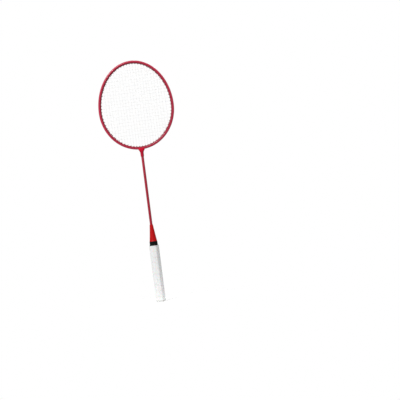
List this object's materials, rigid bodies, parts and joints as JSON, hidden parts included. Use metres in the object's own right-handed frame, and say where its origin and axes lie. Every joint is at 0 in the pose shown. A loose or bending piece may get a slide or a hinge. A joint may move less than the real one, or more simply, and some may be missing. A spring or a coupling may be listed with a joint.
{
  "type": "badminton racket",
  "caption": "Adult badminton racket with an oval strung head, tee joint, slim tube shaft, tapered cone and a wrapped octagonal grip.",
  "frame": {"origin": "centre of the butt cap's flat end, the lowest point of the racket held upright", "axes": "+Z along the shaft from the butt to the top of the head, X across the head, -Y out of the front face of the string bed"},
  "size_m": [0.2068, 0.0242, 0.665],
  "materials": {
    "hoop_paint": "glossy crimson paint",
    "shaft_paint": "glossy crimson paint",
    "tee_plastic": "moulded bright red, glossy",
    "cone_plastic": "moulded bright red, glossy",
    "collar_plastic": "black, satin",
    "grommet_nylon": "dark red nylon",
    "string_nylon": "white nylon strand",
    "handle_wood": "plain sanded wood",
    "grip_band": "white synthetic cushion band",
    "cap_plastic": "white, satin",
    "bare_steel": "bare steel"
  },
  "bodies": {
    "root": {"head_frame": "hoop_paint", "frame_joint_insert": "bare_steel", "t_joint": "tee_plastic", "shaft": "shaft_paint", "handle_pin": "bare_steel", "cone_cap": "cone_plastic", "collar_ring": "collar_plastic", "handle_core": "handle_wood", "grip_wrap": "grip_band", "butt_cap": "cap_plastic", "main_string": "string_nylon", "cross_string": "string_nylon", "grommet_strip_right_throat": "grommet_nylon", "grommet_strip_right_lower": "grommet_nylon", "grommet_strip_right_lower_side": "grommet_nylon", "grommet_strip_right_upper_side": "grommet_nylon", "grommet_strip_right_upper": "grommet_nylon", "grommet_strip_right_top": "grommet_nylon", "grommet_strip_left_throat": "grommet_nylon", "grommet_strip_left_lower": "grommet_nylon", "grommet_strip_left_lower_side": "grommet_nylon", "grommet_strip_left_upper_side": "grommet_nylon", "grommet_strip_left_upper": "grommet_nylon", "grommet_strip_left_top": "grommet_nylon"}
  },
  "joints": []
}
